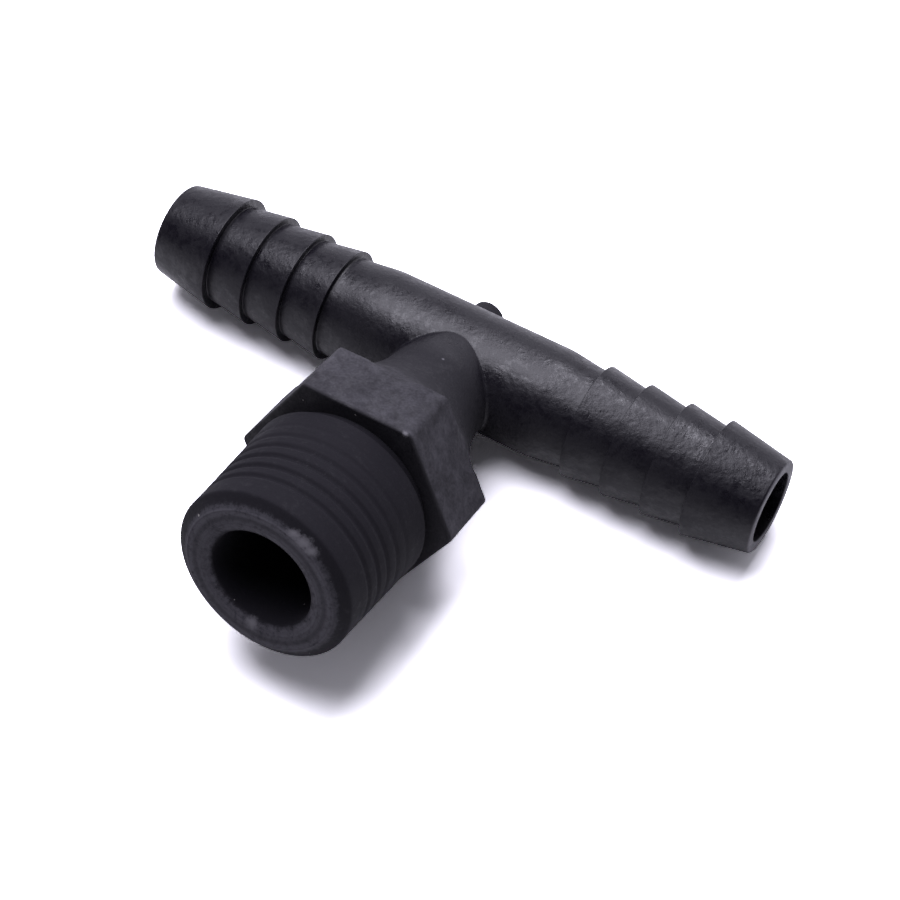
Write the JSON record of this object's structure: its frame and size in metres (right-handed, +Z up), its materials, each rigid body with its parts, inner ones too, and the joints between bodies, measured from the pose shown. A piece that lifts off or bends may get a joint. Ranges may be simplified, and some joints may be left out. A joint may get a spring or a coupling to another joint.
{
  "type": "barbed tee connector",
  "caption": "Black moulded plastic tee: a straight run with a hose barb at each end and a hex-collared branch with a male taper pipe thread.",
  "frame": {"origin": "middle of the footprint at the lowest point of the fitting, as it comes to rest on a table: on the lower back edge of the wrench hex and on the tip barbs of the run", "axes": "+X along the run towards its right hose end, -Y the side that the threaded branch points to (it rises 13.2 degrees above the table), +Z up"},
  "size_m": [0.0616, 0.042, 0.0211],
  "materials": {
    "black_plastic": "satin as-moulded surface, slightly mottled"
  },
  "bodies": {
    "root": {"tee_junction": "black_plastic", "right_shank": "black_plastic", "right_barb_1": "black_plastic", "right_barb_2": "black_plastic", "right_barb_3": "black_plastic", "right_barb_4": "black_plastic", "left_shank": "black_plastic", "left_barb_1": "black_plastic", "left_barb_2": "black_plastic", "left_barb_3": "black_plastic", "left_barb_4": "black_plastic", "branch_neck": "black_plastic", "wrench_hex": "black_plastic", "thread_relief": "black_plastic", "threaded_spigot": "black_plastic", "spigot_nose": "black_plastic", "gate_stub": "black_plastic"}
  },
  "joints": []
}
